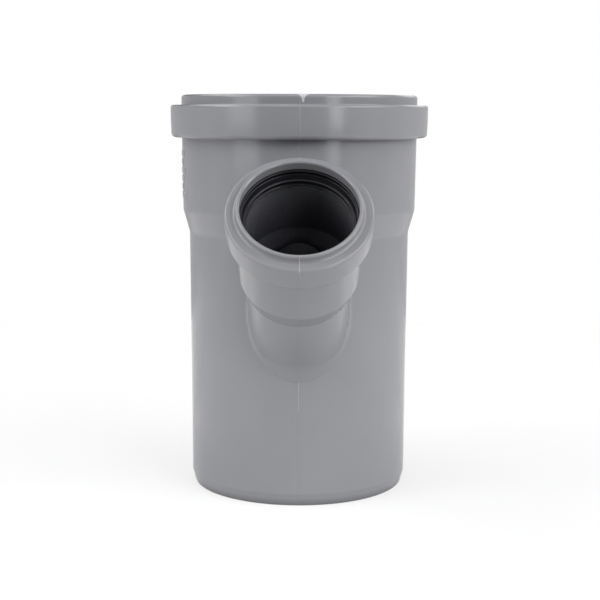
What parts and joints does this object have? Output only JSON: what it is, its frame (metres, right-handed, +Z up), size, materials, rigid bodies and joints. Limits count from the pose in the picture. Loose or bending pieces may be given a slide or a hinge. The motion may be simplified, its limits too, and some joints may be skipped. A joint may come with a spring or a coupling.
{
  "type": "drain pipe tee",
  "caption": "Moulded drain pipe tee: a spigot and a push-fit socket on the main run, and a smaller push-fit socket on a branch at 45 degrees. Each socket holds a rubber lip seal.",
  "frame": {"origin": "centre of the spigot's end, on the main axis", "axes": "+Z up the main axis, from the spigot to the main socket; the branch leans towards -Y; the parting plane is X = 0"},
  "size_m": [0.1286, 0.1887, 0.1967],
  "materials": {
    "body_plastic": "satin",
    "seal_rubber": "matte"
  },
  "bodies": {
    "root": {"tee_body": "body_plastic", "main_socket_seal": "seal_rubber", "branch_socket_seal": "seal_rubber"}
  },
  "joints": []
}
